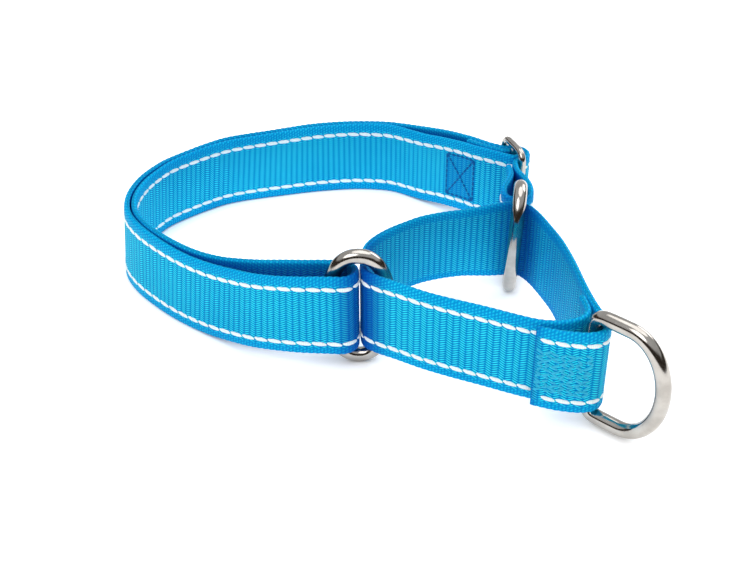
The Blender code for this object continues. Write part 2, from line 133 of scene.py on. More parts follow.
# ---------------------------------------------------------------- finishes, as linear red, green and blue
# the nylon's own blue in the middle of the ramp, with painted shade in the rib grooves and a painted
# highlight on the crests
CLOTH_GROOVE_SHADE_TO_CREST_HIGHLIGHT = ((0.10, (0.0, 0.142, 0.52)), (0.40, (0.0, 0.26, 0.63)),
               (0.74, (0.001, 0.42, 0.745)), (1.0, (0.035, 0.78, 0.91)))
BEAD_TONE = (1.04, 0.16)              # contrast of the weft strokes, and the tone between them
RIB_TONE = (0.50, 0.50)
SELVAGE_TONE = (0.50, 0.36)
DYE_SCALE = 34.0                      # slow unevenness of the dye, and its contrast
DYE_CONTRAST = 0.30
FUZZ_SCALE = 2600.0                   # of the fibres
CLOTH_SHADE = (0.0, 0.052, 0.40)
CLOTH_SEWN = (0.0, 0.16, 0.54)
SHADE_SHARE = 0.88
SEWN_SHARE = 0.5
NOOK_REACH = 0.022                    # metres
NOOK_RANGE = (0.72, 0.18)             # openness at which the shade starts and is full
REFLECTIVE = ((0.93, 0.985, 0.985), (0.68, 0.83, 0.88))
BOX_THREAD = ((0.0, 0.15, 0.44), (0.0, 0.06, 0.24))
FLAP_THREAD = ((0.05, 0.62, 0.86), (0.0, 0.20, 0.52))
DIVE_SHADE = (0.01, 0.04, 0.10)             # painted shade where a stroke dives under the weft
NICKEL = (0.475, 0.45, 0.415)
NICKEL_DULL = (0.38, 0.355, 0.325)

# ---------------------------------------------------------------- stage, in metres
FLOOR_HALF = 6.0
FLOOR_WHITE = (0.93, 0.93, 0.93)
FLOOR_GLOW = 0.50
FLOOR_NOOK = 0.010                    # reach of the contact shadow
LIGHTS = (("key", (-0.35, -0.55, 0.75), 0.7, 3.6),
          ("top", (0.15, 0.15, 0.9), 0.9, 3.6),
          ("rim", (0.6, 0.5, 0.45), 0.5, 1.8))
STUDIO = (0.90, 0.91, 0.93)
ROOM = (0.060, 0.045, 0.035)
STUDIO_STRENGTH = 0.72
CAMERA_OFFSET = (0.0, -0.3019, 0.1961)
LENS = 57.6
SENSOR = 36.0


# ---------------------------------------------------------------- plan geometry
def arc(centre, radius, start, end, count=8):
    """Points on an arc, angles in degrees."""
    turn = [radians(start + (end - start) * i / count) for i in range(count + 1)]
    return [(centre[0] + radius * cos(a), centre[1] + radius * sin(a)) for a in turn]


def smooth(points, steps=12):
    """A Catmull-Rom curve through the points."""
    ends = [_mirror(points[0], points[1])] + list(points) + [_mirror(points[-1], points[-2])]
    curve = []
    for a, b, c, d in zip(ends, ends[1:], ends[2:], ends[3:]):
        for i in range(steps):
            t = i / steps
            curve.append(tuple(_spline(a[k], b[k], c[k], d[k], t) for k in (0, 1)))
    return curve + [tuple(points[-1])]


def _mirror(end, inner):
    return (2 * end[0] - inner[0], 2 * end[1] - inner[1])


def _spline(a, b, c, d, t):
    return 0.5 * (2 * b + (c - a) * t + (2 * a - 5 * b + 4 * c - d) * t**2 + (3 * b - a - 3 * c + d) * t**3)


def offset_point(route, i, distance):
    """One point of a route moved sideways; positive is to the left of its direction."""
    a, b = route[max(i - 1, 0)], route[min(i + 1, len(route) - 1)]
    size = hypot(b[0] - a[0], b[1] - a[1])
    return (route[i][0] - (b[1] - a[1]) / size * distance, route[i][1] + (b[0] - a[0]) / size * distance)


def length_along(route):
    """Running length at each point."""
    total = [0.0]
    for a, b in zip(route, route[1:]):
        total.append(total[-1] + hypot(b[0] - a[0], b[1] - a[1]))
    return total


def point_at(route, distance):
    total = length_along(route)
    for i in range(len(route) - 1):
        if total[i + 1] >= distance:
            t = (distance - total[i]) / max(total[i + 1] - total[i], 1e-9)
            a, b = route[i], route[i + 1]
            return (a[0] + (b[0] - a[0]) * t, a[1] + (b[1] - a[1]) * t)
    return route[-1]


def nearest(route, place):
    """Distance along the route to its point closest to a place."""
    total = length_along(route)
    best = min(range(len(route)), key=lambda i: hypot(route[i][0] - place[0], route[i][1] - place[1]))
    return total[best]


def cut(route, start, end):
    """The stretch of a route between two distances along it."""
    total = length_along(route)
    inner = [p for p, s in zip(route, total) if start + 0.05 < s < end - 0.05]
    return [point_at(route, start)] + inner + [point_at(route, end)]


def offset(route, distance):
    """The whole route moved sideways."""
    return [offset_point(route, i, distance) for i in range(len(route))]


def ease(value):
    """A smooth step from 0 to 1."""
    t = min(max(value, 0.0), 1.0)
    return t * t * (3 - 2 * t)


def lift(point):
    """Height of the webbing's lower edge: on the ground at the left, up at the rings."""
    x, y = point
    if y < 0:
        return LIFT * ease((x + 52) / 38)
    at_ring = ease((24 - y) / 18) if x > 30 else 0.0
    return SLIDER_LIFT * ease((x - 8) / 28) + (LIFT - SLIDER_LIFT) * at_ring


def lean(point):
    """How far the upper edge leans over the lower edge, in plan."""
    x, y = point
    long_loop = 1 - ease((x + 48) / 40)
    control = ease((x + 2) / 12) * (1 - ease((x - 24) / 13)) if -27 < y < 0 else 0.0
    return (LEAN[0] * long_loop + CONTROL_LEAN[0] * control,
            LEAN[1] * long_loop + CONTROL_LEAN[1] * control)


def beside(centre, turn, along, across):
    """A point given in a turned frame."""
    return (centre[0] + along * cos(turn) - across * sin(turn),
            centre[1] + along * sin(turn) + across * cos(turn))


# ---------------------------------------------------------------- webbing routes
def slider_weave():
    """The free webbing inside the left bar, outside the middle bar, inside the right bar."""
    turn = degrees(SLIDER_TURN)
    left = beside(SLIDER, SLIDER_TURN, -SLIDER_PITCH, 0)
    right = beside(SLIDER, SLIDER_TURN, SLIDER_PITCH, 0)
    into = arc(left, BAR_WRAP, turn - 54, turn, 6)
    over = arc(SLIDER, SLIDER_PITCH - BAR_WRAP, turn + 180, turn, 16)
    out = arc(right, BAR_WRAP, turn + 180, turn + 238, 6)
    return into + over[1:-1] + out


def main_outer_route():
    """From the front ring's fold, round the back, through the slider, to the rear ring's loop."""
    back = [(FRONT_FOLD[0], FRONT_FOLD[1] - FOLD_RADIUS), (-20, -42.5), (-31, -38.2), (-41, -31.7),
            (-48.4, -26.2), (-55.5, -20.5), (-62.2, -13.9), (-68.6, -6.2), (-72.9, 2), (-74.2, 11),
            (-72.7, 20.5), (-69.4, 28.6), (-65.0, 35.2), (-54.2, 44.9), (-46, 49.9), (-31, 55),
            (-18.3, 58.6), (-5, 60.2), (8, 58.2), (20.6, 51.2), (29.5, 43.6)]
    weave = slider_weave()
    entry = smooth(back + [(35.2, 38.0), weave[0]])
    cast = REAR_RING_TURN + pi / 2
    centre = beside(REAR_RING, cast, REAR_FOLD_REACH, 0)
    loop = arc(centre, REAR_FOLD_RADIUS, degrees(cast) - 90, degrees(cast) - 270, 16)
    leg = smooth([weave[-1], (42.9, 18.5), (44.5, 11.5), (45.25, 6.0), loop[0]])
    tab = smooth([loop[-1], (37.75, 6.6), (39.6, 11.6), (40.7, 17.0), (40.5, 22.5)])
    return entry + weave[1:] + leg[1:] + loop[1:] + tab[1:]


def layer_spacing(run, total):
    """Distance between the two layers: wide at the ring's fold, close round the back."""
    at_fold = (2 * FOLD_RADIUS - LAYERS) * (1 - ease(run / 66))
    at_tab = (PITCH + 0.25) * ease((run - total + 44) / 20)
    return LAYERS + at_fold + at_tab


def main_inner_route():
    """Inside the outer layer to the slider's middle bar, then back between the layers."""
    outer = main_outer_route()
    end = nearest(outer, slider_weave()[0])
    beside_bar = cut(outer, 0, end)
    total = length_along(beside_bar)
    inner = [offset_point(beside_bar, i, -layer_spacing(total[i], end)) for i in range(len(beside_bar))]
    inner[0] = (FRONT_FOLD[0], FRONT_FOLD[1] + FOLD_RADIUS)
    heading = degrees(SLIDER_TURN) - 54
    wrap = arc(SLIDER, BAR_WRAP, heading + 4, heading + 234, 18)
    left = beside(SLIDER, SLIDER_TURN, -SLIDER_PITCH, 0)
    turn = degrees(SLIDER_TURN)
    back = arc(left, SLIDER_PITCH - BAR_WRAP, turn, turn - 54, 6)
    tab = cut(offset(beside_bar, -PITCH - 0.1), end - 19, end - 2.6)
    lead = smooth([inner[-14], inner[-5], wrap[0]])
    return inner[:-14] + lead + wrap[1:] + back[1:] + list(reversed(tab))


def control_route():
    """From the inner end beside the right run, along the front, round both rings, to the flap."""
    inner_corner = [(51.9, -51.4), (52.5, -55.5), (52.4, -58.5), (50.4, -61.2), (46.0, -62.8),
                    (40.6, -62.6)]
    front = [(35, -60.5), (27.5, -57.0), (19.5, -53.4), (12.3, -49.8), (5.5, -45.7), (0.7, -43.0),
             (-2.3, -40.4), (-3.1, -37.2), (-3.0, -32.0), (-1.9, -26.4), (1.6, -20.7)]
    rear = [(6.5, -15.3), (12.5, -10.8), (19, -8.1), (25, -6.6), (31, -5.5), (37, -4.3), (40.9, -3.8),
            (43.6, -6.2), (45.8, -10.5), (47.8, -16.2), (49.8, -22.8), (51.0, -29), (52.0, -36)]
    corner = [(52.9, -44), (53.9, -51), (55.1, -57.2), (56.5, -61.2), (56.5, -64.6), (54.6, -67.2),
              (50.9, -68.1), (45.6, -67.2), (41.6, -65.8), (39.2, -64.8)]
    return smooth(inner_corner + front + rear + corner)


def main_route():
    """The whole long strap: slider tab, inner layer, fold in the front ring, outer layer, ring tab."""
    fold = arc(FRONT_FOLD, FOLD_RADIUS, 90, -90, 20)
    return list(reversed(main_inner_route())) + fold[1:-1] + main_outer_route()


# ---------------------------------------------------------------- sampled strap
class Strap:
    """A strap's centre line, sampled evenly, with its sideways direction, lift and lean at each sample."""

    def __init__(self, route):
        self.step = RIB_PITCH / 6
        points = np.array(route)
        gaps = np.hypot(*np.diff(points, axis=0).T)
        points = points[np.r_[True, gaps > 1e-6]]
        run = np.r_[0.0, np.cumsum(np.hypot(*np.diff(points, axis=0).T))]
        self.length = run[-1]
        self.s = np.arange(0.0, self.length, self.step)
        line = np.column_stack([np.interp(self.s, run, points[:, k]) for k in (0, 1)])
        for _ in range(3):
            line[1:-1] = (line[:-2] + 2 * line[1:-1] + line[2:]) / 4
        self.line = line
        along = np.gradient(line, axis=0)
        along /= np.hypot(*along.T)[:, None]
        self.left = np.column_stack([-along[:, 1], along[:, 0]])
        self.lift = np.array([lift(p) for p in line])
        self.lean = np.array([lean(p) for p in line])

    def at(self, s, out, height):
        """World points at runs s, distances out to the left, and heights above the lower edge."""
        s, out, height = np.broadcast_arrays(s, out, height)
        pick = [np.interp(s, self.s, column) for column in
                (*self.line.T, *self.left.T, self.lift, *self.lean.T)]
        x, y, nx, ny, lifted, lx, ly = pick
        share = height / WEB_WIDTH - 0.5
        return np.stack([(x + nx * out + lx * share + SHIFT[0]) * MM,
                         (y + ny * out + ly * share + SHIFT[1]) * MM,
                         (lifted + height) * MM], axis=-1)

    def where(self, place, low=0.0, high=1e9):
        """The run, between two limits, at which the strap passes closest to a plan point."""
        away = np.hypot(*(self.line - np.array(place)).T)
        away[(self.s < low) | (self.s > high)] = 1e9
        return self.s[np.argmin(away)]


def mesh_object(name, points, faces, finish, uv=None, sharp=40):
    """A mesh object from points in metres, with an optional weave map in millimetres."""
    mesh = bpy.data.meshes.new(name)
    mesh.from_pydata(np.asarray(points).reshape(-1, 3).tolist(), [], faces)
    mesh.materials.append(finish)
    if uv is not None:
        layer = mesh.uv_layers.new(name="weave")
        corners = np.zeros(len(mesh.loops), np.int32)
        mesh.loops.foreach_get("vertex_index", corners)
        layer.data.foreach_set("uv", np.asarray(uv, np.float32)[corners].ravel())
    mesh.shade_smooth()
    mesh.set_sharp_from_angle(angle=radians(sharp))
    thing = bpy.data.objects.new(name, mesh)
    bpy.context.scene.collection.objects.link(thing)
    return thing


def grid_faces(rows, columns, wrap=True, first=0):
    """Quads between successive rows of points, closing each row on itself when wrap is set."""
    last = columns if wrap else columns - 1
    return [(first + i * columns + j, first + i * columns + (j + 1) % columns,
             first + (i + 1) * columns + (j + 1) % columns, first + (i + 1) * columns + j)
            for i in range(rows - 1) for j in range(last)]


# ---------------------------------------------------------------- webbing
def web_section():
    """Cross-section as heights and relative half-thickness, and how much the ribs show at each point."""
    half = WEB_THICK / 2
    face = np.linspace(half, WEB_WIDTH - half, 19)
    edge = np.linspace(0, pi, 7)[1:-1]
    height = np.r_[face, WEB_WIDTH - half + half * np.sin(edge), face[::-1], half - half * np.sin(edge)]
    side = np.r_[np.ones(19), np.cos(edge), -np.ones(19), -np.cos(edge)]
    inset = np.minimum(height, WEB_WIDTH - height)
    ribs = np.clip((inset - 1.2) / 1.6, 0.25, 1.0)
    ribs[np.abs(side) < 0.999] = 0.25
    return height, side, ribs


def rib_profile(s):
    """Height of the ribs along the strap, 0 in the grooves and 1 on the crests."""
    return np.abs(np.sin(pi * s / RIB_PITCH)) ** 0.8


def make_webbing(name, strap, start, end, finish):
    """One continuous stretch of ribbed webbing with rounded, slightly scalloped selvages."""
    first = max(int(round(start / strap.step)), 0)
    last = min(int(round(end / strap.step)), len(strap.s) - 1)
    s = strap.s[first:last + 1][:, None]
    height, side, ribs = web_section()
    crest = rib_profile(s)
    out = side * (WEB_THICK / 2 - RIB_RISE * (1 - crest) * ribs)
    near_edge = (np.abs(height / WEB_WIDTH - 0.5) * 2) ** 12
    scallop = (crest - 1) * SCALLOP * near_edge * np.sign(height - WEB_WIDTH / 2)
    wander = WANDER * (np.sin(s / 9.1) + np.sin(s / 5.3 + 1.0)) * height / WEB_WIDTH
    points = strap.at(s, out, height + scallop + wander)
    rows, columns = points.shape[:2]
    faces = grid_faces(rows, columns)
    faces.append(tuple(range(columns - 1, -1, -1)))
    faces.append(tuple((rows - 1) * columns + j for j in range(columns)))
    uv = np.stack(np.broadcast_arrays(s, height + REVERSE * (side < 0)), axis=-1).reshape(-1, 2)
    return mesh_object(name, points, faces, finish, uv)


# ---------------------------------------------------------------- yarns and threads
def pillow(rings=9, sides=10):
    """A low rounded bar: positions along, across and up, each from -1 or 0 to 1, and its faces."""
    t = np.linspace(-1, 1, rings)
    width = (1 - np.abs(t) ** 3.2 * 0.92) ** 0.5
    turn = 2 * pi * np.arange(sides) / sides
    along = np.repeat(t[:, None], sides, axis=1)
    across = width[:, None] * np.cos(turn)
    up = width[:, None] * np.sin(turn)
    faces = grid_faces(rings, sides)
    faces.append(tuple(range(sides - 1, -1, -1)))
    faces.append(tuple((rings - 1) * sides + j for j in range(sides)))
    return along, across, up, faces


def pressed(strap, run):
    """How far a thread stands up at a run: lower where one of the slider's outer bars crosses it."""
    near = min(hypot(*(strap.line[int(run / strap.step)] - beside(SLIDER, SLIDER_TURN, end, 0)))
               for end in (-SLIDER_PITCH, SLIDER_PITCH))
    return 0.3 + 0.7 * ease((near - 3.6) / 1.2)


def lay_threads(name, strap, strokes, width, rise, side, finish, slant=0.0):
    """Lays one low bar on the webbing's face for each stroke, given by its two ends as run and height."""
    along, across, up, bar = pillow()
    points, faces, uv = [], [], []
    for (s0, v0), (s1, v1) in strokes:
        size = hypot(s1 - s0, v1 - v0)
        ds, dv = (s1 - s0) / size, (v1 - v0) / size
        run = along * size / 2 + slant * across * width / 2
        sideways = across * width / 2
        s = (s0 + s1) / 2 + run * ds - sideways * dv
        v = (v0 + v1) / 2 + run * dv + sideways * ds
        height = rise * pressed(strap, (s0 + s1) / 2)
        lowered = WEB_THICK / 2 - THREAD_ROOT + (height + THREAD_ROOT) * np.maximum(up, -0.4)
        laid = strap.at(s, side * lowered, v)
        first = sum(len(p) for p in points)
        points.append(laid.reshape(-1, 3))
        turned = [tuple(reversed(f)) for f in bar] if side > 0 else bar
        faces += [tuple(first + i for i in face) for face in turned]
        uv.append(np.stack([along * HALF_STROKE, sideways], axis=-1).reshape(-1, 2))
    return mesh_object(name, np.concatenate(points), faces, finish, np.concatenate(uv), 60)


def dashes(start, end, pitch):
    """Strokes of the two reflective yarns between two runs."""
    strokes = []
    length = pitch * DASH_SHARE
    for level, shift in ((TRACER_INSET, 0.0), (WEB_WIDTH - TRACER_INSET, DASH_STAGGER)):
        number = ceil((start - shift) / pitch)
        while number * pitch + shift + length < end:
            s = number * pitch + shift
            strokes.append(((s, level), (s + length, level)))
            number += 1
    return strokes


def row_of_stitches(a, b, length, gap):
    """A straight row of stitches from a to b, each as a pair of ends."""
    size = hypot(b[0] - a[0], b[1] - a[1])
    count = max(int(round(size / length)), 1)
    rows = []
    for i in range(count):
        t0, t1 = (i + gap / length / 2) / count, (i + 1 - gap / length / 2) / count
        rows.append((tuple(a[k] + (b[k] - a[k]) * t0 for k in (0, 1)),
                     tuple(a[k] + (b[k] - a[k]) * t1 for k in (0, 1))))
    return rows


def box_cross(start, length, low, high):
    """The sewn box with its cross."""
    a, b, c, d = (start, low), (start + length, low), (start + length, high), (start, high)
    strokes = []
    for p, q in ((a, b), (b, c), (c, d), (d, a), (a, c), (d, b)):
        strokes += row_of_stitches(p, q, *BOX_STITCH)
    return strokes


def zigzag_rows(start, low, high, rows, pitch, swing, tooth=1.5, loose=0.2):
    """Upright rows of zigzag stitches, laid a little unevenly."""
    chance = random.Random(rows * 10 + 3)
    strokes = []
    teeth = int((high - low) / tooth)
    for row in range(rows):
        middle = start + row * pitch
        for i in range(teeth):
            sign = 1 if (i + row) % 2 else -1
            a, b, c, d = (chance.uniform(-loose, loose) for _ in range(4))
            strokes.append(((middle - sign * swing + a, low + i * tooth + 0.1 + b),
                            (middle + sign * swing + c, low + (i + 1) * tooth - 0.1 + d)))
    return strokes


# ---------------------------------------------------------------- hardware
def tube(path, radius, sides, closed=True):
    """Points and faces of a round wire along a path in the XZ plane."""
    path = np.array(path, float)
    ahead, behind = np.roll(path, -1, 0), np.roll(path, 1, 0)
    if not closed:
        ahead[-1], behind[0] = path[-1], path[0]
    along = ahead - behind
    along /= np.hypot(*along.T)[:, None]
    turn = 2 * pi * np.arange(sides) / sides
    out = np.column_stack([along[:, 1], -along[:, 0]])
    radius = np.broadcast_to(np.asarray(radius, float), (len(path),))[:, None]
    x = path[:, :1] + radius * np.sin(turn) * out[:, :1]
    z = path[:, 1:] + radius * np.sin(turn) * out[:, 1:]
    y = -radius * np.cos(turn) * np.ones_like(x)
    points = np.stack([x, y, z], axis=-1) * MM
    faces = grid_faces(len(path), sides)
    if closed:
        last = (len(path) - 1) * sides
        faces += [(last + j, last + (j + 1) % sides, (j + 1) % sides, j) for j in range(sides)]
    else:
        faces.append(tuple(range(sides - 1, -1, -1)))
        faces.append(tuple((len(path) - 1) * sides + j for j in range(sides)))
    return points.reshape(-1, 3), faces


def stand(points, place, z, turn, tilt=0.0):
    """Points drawn about their own origin, tilted, turned about Z, and put at a plan point."""
    x, y, h = np.asarray(points).T
    y, h = y * cos(tilt) - h * sin(tilt), y * sin(tilt) + h * cos(tilt)
    return np.column_stack([x * cos(turn) - y * sin(turn) + (place[0] + SHIFT[0]) * MM,
                            x * sin(turn) + y * cos(turn) + (place[1] + SHIFT[1]) * MM,
                            h + z * MM])


def even(path, count):
    """The same closed outline with evenly spaced points."""
    path = np.array(list(path) + [path[0]], float)
    run = np.r_[0.0, np.cumsum(np.hypot(*np.diff(path, axis=0).T))]
    s = np.linspace(0, run[-1], count, endpoint=False)
    line = np.column_stack([np.interp(s, run, path[:, k]) for k in (0, 1)])
    for _ in range(2):
        line = (np.roll(line, 1, 0) + 2 * line + np.roll(line, -1, 0)) / 4
    return line


def oval_outline(shift):
    points = []
    for i in range(180):
        c, s = cos(2 * pi * i / 180), sin(2 * pi * i / 180)
        points.append((RING_HALF_WIDTH * abs(c) ** (2 / RING_POWER) * (1 if c >= 0 else -1) + shift,
                       RING_HALF_HEIGHT * abs(s) ** (2 / RING_POWER) * (1 if s >= 0 else -1)))
    return even(points, 140)


def d_outline():
    reach = D_DEPTH - D_STRAIGHT
    bow = [(D_STRAIGHT + reach * sin(a), D_HALF_HEIGHT * cos(a)) for a in (pi * i / 28 for i in range(29))]
    top = [(0.0, D_HALF_HEIGHT - D_CORNER), (0.4, D_HALF_HEIGHT - 1.8), (1.5, D_HALF_HEIGHT - 0.4),
           (3.6, D_HALF_HEIGHT)]
    bottom = [(x, -z) for x, z in reversed(top)]
    points = top + bow + bottom
    closed = points[-2:] + points + points[:2]
    return even(smooth(closed, 10)[20:-20], 150)


def slider_outline():
    half, tall, bend = SLIDER_PITCH, SLIDER_HALF_HEIGHT, SLIDER_CORNER
    corners = [(half - bend, tall - bend, 0), (-half + bend, tall - bend, 90),
               (-half + bend, -tall + bend, 180), (half - bend, -tall + bend, 270)]
    points = []
    for x, z, start in corners:
        points += arc((x, z), bend, start, start + 90, 10)
    return even(points, 130)


def make_hardware(nickel):
    """Finer wire for each of the frame's metal pieces, riding on the same bodies."""
    cast = REAR_RING_TURN + pi / 2
    held = beside(REAR_RING, cast, RING_HALF_WIDTH, 0)
    ring, ring_faces = tube(oval_outline(RING_HALF_WIDTH), RING_WIRE / 2, 28)
    leash, leash_faces = tube(d_outline(), D_WIRE / 2, 28)
    frame_wire, frame_faces = tube(slider_outline(), SLIDER_BAR / 2, 22)
    bar, bar_faces = tube([(0, z) for z in np.linspace(-SLIDER_HALF_HEIGHT, SLIDER_HALF_HEIGHT, 40)],
                          SLIDER_BAR / 2 * 0.97, 22, False)
    middle = LIFT + WEB_WIDTH / 2
    at_slider = SLIDER_LIFT + WEB_WIDTH / 2
    rows = [("oval_ring_front", ring, ring_faces, (FRONT_RING[0] - RING_HALF_WIDTH, FRONT_RING[1]), RING_Z,
             0.0, 0.0, "front_ring_body", "front_ring"),
            ("oval_ring_rear", ring, ring_faces, held, RING_Z, cast + pi, REAR_RING_TILT,
             "rear_ring_body", "rear_ring"),
            ("leash_ring", leash, leash_faces, D_BAR, middle, D_TURN, 0.0,
             "leash_ring_body", "leash_d_ring"),
            ("slider_frame", frame_wire, frame_faces, SLIDER, at_slider, SLIDER_TURN, 0.0,
             "slider_body", "three_bar_slider"),
            ("slider_middle_bar", bar, bar_faces, SLIDER, at_slider, SLIDER_TURN, 0.0, "slider_body", None)]
    for name, points, faces, place, z, turn, tilt, body, node in rows:
        piece = mesh_object(name, stand(points, place, z, turn, tilt), faces, nickel, None, 50)
        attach(piece, body)
        if node:
            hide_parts(node)


# ---------------------------------------------------------------- materials
class Nodes:
    """Short calls for building a node tree."""

    def __init__(self, tree):
        self.tree = tree

    def add(self, kind, **settings):
        node = self.tree.nodes.new(kind)
        for key, value in settings.items():
            setattr(node, key, value)
        return node

    def link(self, value, socket):
        if isinstance(value, bpy.types.NodeSocket):
            self.tree.links.new(value, socket)
        else:
            socket.default_value = value

    def math(self, operation, a, b=0.0, c=0.0):
        node = self.add("ShaderNodeMath", operation=operation)
        for value, socket in zip((a, b, c), node.inputs):
            self.link(value, socket)
        return node.outputs[0]

    def between(self, value, low, high):
        """0 below low, 1 above high, smooth in between."""
        node = self.add("ShaderNodeMapRange", interpolation_type="SMOOTHSTEP")
        for item, key in ((value, "Value"), (low, "From Min"), (high, "From Max")):
            self.link(item, node.inputs[key])
        return node.outputs[0]

    def mix(self, factor, a, b):
        node = self.add("ShaderNodeMix", data_type="RGBA")
        for value, socket in ((factor, node.inputs[0]), (a, node.inputs[6]), (b, node.inputs[7])):
            self.link(value, socket)
        return node.outputs[2]

    def noise(self, vector, scale, detail):
        node = self.add("ShaderNodeTexNoise")
        self.link(vector, node.inputs["Vector"])
        node.inputs["Scale"].default_value = scale
        node.inputs["Detail"].default_value = detail
        return node.outputs[0]

    def wave(self, phase):
        """0 at each whole number and 1 half-way between."""
        return self.math("ABSOLUTE", self.math("SINE", self.math("MULTIPLY", phase, pi)))

    def weave(self):
        """The weave map's run along the strap and distance across it."""
        split = self.add("ShaderNodeSeparateXYZ")
        self.link(self.add("ShaderNodeUVMap", uv_map="weave").outputs[0], split.inputs[0])
        return split.outputs[0], split.outputs[1]

    def openness(self, distance, samples, local):
        """1 in the open, falling to 0 in a crevice; local leaves other pieces out."""
        node = self.add("ShaderNodeAmbientOcclusion", samples=samples, only_local=local)
        node.inputs["Distance"].default_value = distance
        return node.outputs["AO"]

    def tones(self, value, stops):
        """A colour ramp through the stops, each a position and a colour."""
        node = self.add("ShaderNodeValToRGB")
        self.link(value, node.inputs[0])
        elements = node.color_ramp.elements
        for element, (position, colour) in zip(elements, (stops[0], stops[-1])):
            element.position, element.color = position, rgb(*colour)
        for position, colour in stops[1:-1]:
            elements.new(position).color = rgb(*colour)
        return node.outputs[0]

    def bump(self, shader, height, strength, distance):
        node = self.add("ShaderNodeBump")
        node.inputs["Strength"].default_value = strength
        node.inputs["Distance"].default_value = distance
        self.link(height, node.inputs["Height"])
        self.link(node.outputs[0], shader.inputs["Normal"])


def new_material(name):
    made = bpy.data.materials.new(name)
    made.use_nodes = True
    return made, Nodes(made.node_tree), made.node_tree.nodes["Principled BSDF"]


def rgb(r, g, b):
    return (r, g, b, 1.0)


def weave_relief(n, run, level, inset):
    """Cross ribs of slanted weft strokes, alternating in direction, between two finer selvages."""
    ribs = n.math("DIVIDE", run, RIB_PITCH)
    parity = n.math("MODULO", n.math("FLOOR", ribs), 2.0)
    hand = n.math("MULTIPLY_ADD", parity, 2.0, -1.0)
    across_rib = n.math("SUBTRACT", n.math("FRACT", ribs), 0.5)
    slant = n.math("MULTIPLY", across_rib, n.math("MULTIPLY", hand, BEAD_SLANT))
    bead = n.math("POWER", n.wave(n.math("ADD", n.math("DIVIDE", level, BEAD_PITCH), slant)), 1.4)
    cloth = n.math("MULTIPLY", n.math("MULTIPLY_ADD", n.math("POWER", n.wave(ribs), 0.7), *RIB_TONE),
                   n.math("MULTIPLY_ADD", bead, *BEAD_TONE))
    loops = n.wave(n.math("DIVIDE", run, RIB_PITCH / 2))
    rounds = n.wave(n.math("ADD", n.math("DIVIDE", level, SELVAGE_LINES), ribs))
    selvage = n.math("MULTIPLY_ADD", n.math("MULTIPLY", loops, rounds), *SELVAGE_TONE)
    body = n.between(inset, *SELVAGE)
    return n.math("ADD", n.math("MULTIPLY", cloth, body),
                  n.math("MULTIPLY", selvage, n.math("SUBTRACT", 1.0, body)))


def webbing_material(name, folds, patch=None):
    """Woven bright blue nylon, with painted shade in its crevices and in its folds (each a run, reach,
    depth, and whether only the reverse face shows it), deeper where, between two runs, dense sewing draws
    it in."""
    made, n, shader = new_material(name)
    run, across = n.weave()
    level = n.math("MODULO", across, REVERSE)
    inset = n.math("MINIMUM", level, n.math("SUBTRACT", WEB_WIDTH, level))
    relief = weave_relief(n, run, level, inset)
    place = n.add("ShaderNodeTexCoord").outputs["Object"]
    dye = n.noise(place, DYE_SCALE, 3.0)
    fuzz = n.noise(place, FUZZ_SCALE, 2.0)
    tone = n.math("MULTIPLY_ADD", n.math("SUBTRACT", dye, 0.5), DYE_CONTRAST, relief)
    # painted shade: deep blue mixed into the colour in crevices and along each fold band
    shade = n.between(n.openness(NOOK_REACH, 6, True), *NOOK_RANGE)
    reverse = n.math("GREATER_THAN", across, (WEB_WIDTH + REVERSE) / 2)
    for at, reach, depth, reverse_only in folds:
        away = n.math("ABSOLUTE", n.math("SUBTRACT", run, at))
        fold = n.math("MULTIPLY", n.between(away, reach, 0.0), depth)
        shade = n.math("MAXIMUM", shade, n.math("MULTIPLY", fold, reverse) if reverse_only else fold)
    colour = n.mix(n.math("MULTIPLY", shade, SHADE_SHARE), n.tones(tone, CLOTH_GROOVE_SHADE_TO_CREST_HIGHLIGHT), rgb(*CLOTH_SHADE))
    if patch:
        along = n.math("MULTIPLY", n.between(run, patch[0], patch[0] + 0.5),
                       n.between(run, patch[1], patch[1] - 0.5))
        inside = n.math("MULTIPLY", along, n.between(inset, BOX_MARGIN - 0.8, BOX_MARGIN - 0.1))
        colour = n.mix(n.math("MULTIPLY", inside, SEWN_SHARE), colour, rgb(*CLOTH_SEWN))
    n.link(colour, shader.inputs["Base Color"])
    n.link(n.math("MULTIPLY_ADD", fuzz, 0.2, 0.46), shader.inputs["Roughness"])
    shader.inputs["Specular IOR Level"].default_value = 0.04
    n.bump(shader, n.math("MULTIPLY_ADD", fuzz, 0.18, relief), 0.85, 0.00022)
    return made


def yarn_material(name, colours, twist, roughness):
    """Twisted yarn: fine diagonal plies, lighter on their crests, and painted shade where a stroke dives.
    """
    made, n, shader = new_material(name)
    light, dark = colours
    along, across = n.weave()
    ply = n.wave(n.math("ADD", n.math("DIVIDE", along, twist), n.math("DIVIDE", across, twist * 1.4)))
    grime = n.noise(n.add("ShaderNodeTexCoord").outputs["Object"], 1400.0, 3.0)
    tone = n.math("MULTIPLY_ADD", n.math("SUBTRACT", grime, 0.5), 0.4,
                  n.math("MULTIPLY_ADD", ply, 0.6, 0.4))
    # painted shade at both ends of each stroke
    dive_shade = n.between(n.math("ABSOLUTE", along), 0.88 * HALF_STROKE, HALF_STROKE)
    n.link(n.mix(n.math("MULTIPLY", dive_shade, 0.85), n.mix(tone, rgb(*dark), rgb(*light)), rgb(*DIVE_SHADE)),
           shader.inputs["Base Color"])
    shader.inputs["Roughness"].default_value = roughness
    shader.inputs["Specular IOR Level"].default_value = 0.15
    n.bump(shader, ply, 0.6, 0.00012)
    return made


